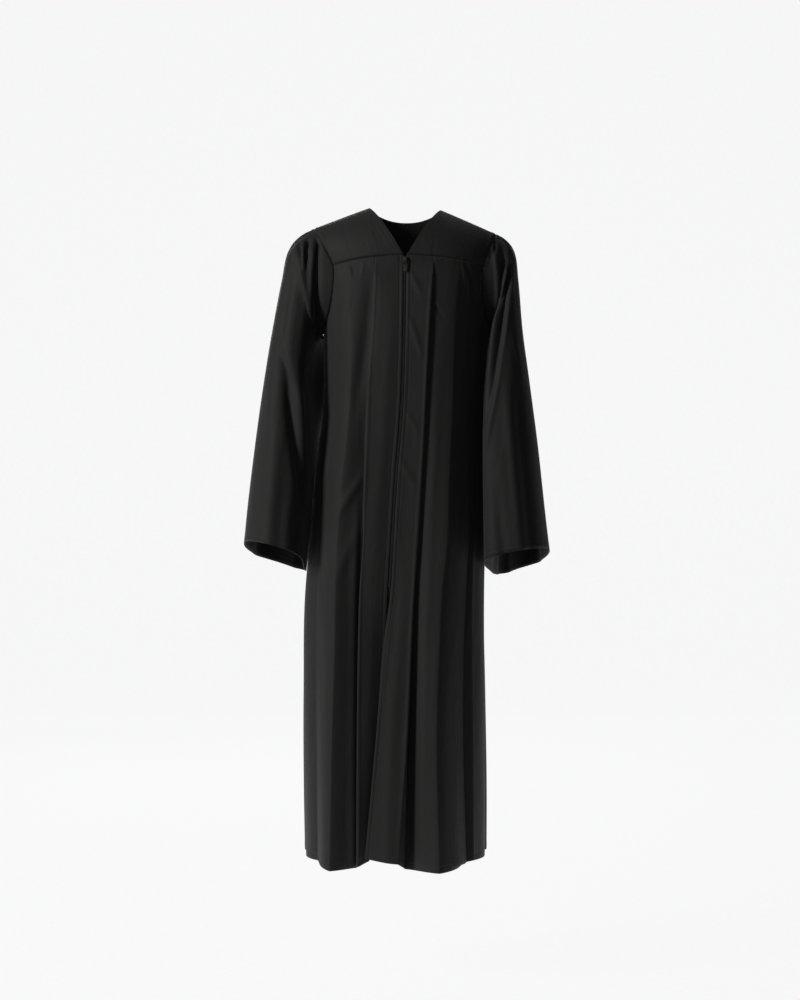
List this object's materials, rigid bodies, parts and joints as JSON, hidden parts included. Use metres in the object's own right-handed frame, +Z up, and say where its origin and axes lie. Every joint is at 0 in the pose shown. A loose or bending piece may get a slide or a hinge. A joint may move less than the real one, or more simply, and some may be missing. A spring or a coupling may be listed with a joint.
{
  "type": "graduation gown",
  "caption": "Full-length black graduation gown, zipped up the front, with pleated fronts hung from plain yokes, a gathered back and open bell sleeves.",
  "frame": {"origin": "in the open neck, midway between the shoulders, at the height of the two neck points, where the wearer's shoulders hold the gown up", "axes": "+Z up along the gown's length, +Y towards the wearer's back, +X towards the wearer's left"},
  "size_m": [0.6104, 0.3784, 1.3024],
  "materials": {
    "cloth": "matte plain-woven polyester, black",
    "zip_tape": "black woven tape with a coil of black plastic teeth",
    "zip_metal": "black enamel over zinc, slightly glossy"
  },
  "bodies": {
    "gown": {"front_yoke_right": "cloth", "front_yoke_left": "cloth", "back_yoke": "cloth", "front_panel_right": "cloth", "front_panel_left": "cloth", "back_panel": "cloth", "sleeve_right": "cloth", "sleeve_left": "cloth", "zip_tape": "zip_tape", "zip_slider": "zip_metal"},
    "zip_pull": {"zip_pull_tab": "zip_metal"}
  },
  "joints": [
    {"name": "pull_tab_hinge", "type": "hinge", "parent": "gown", "child": "zip_pull", "pos_m": [-0.00008, -0.12858, -0.11167], "axis": [-1, 0, 0], "range_deg": [0, 130]}
  ]
}
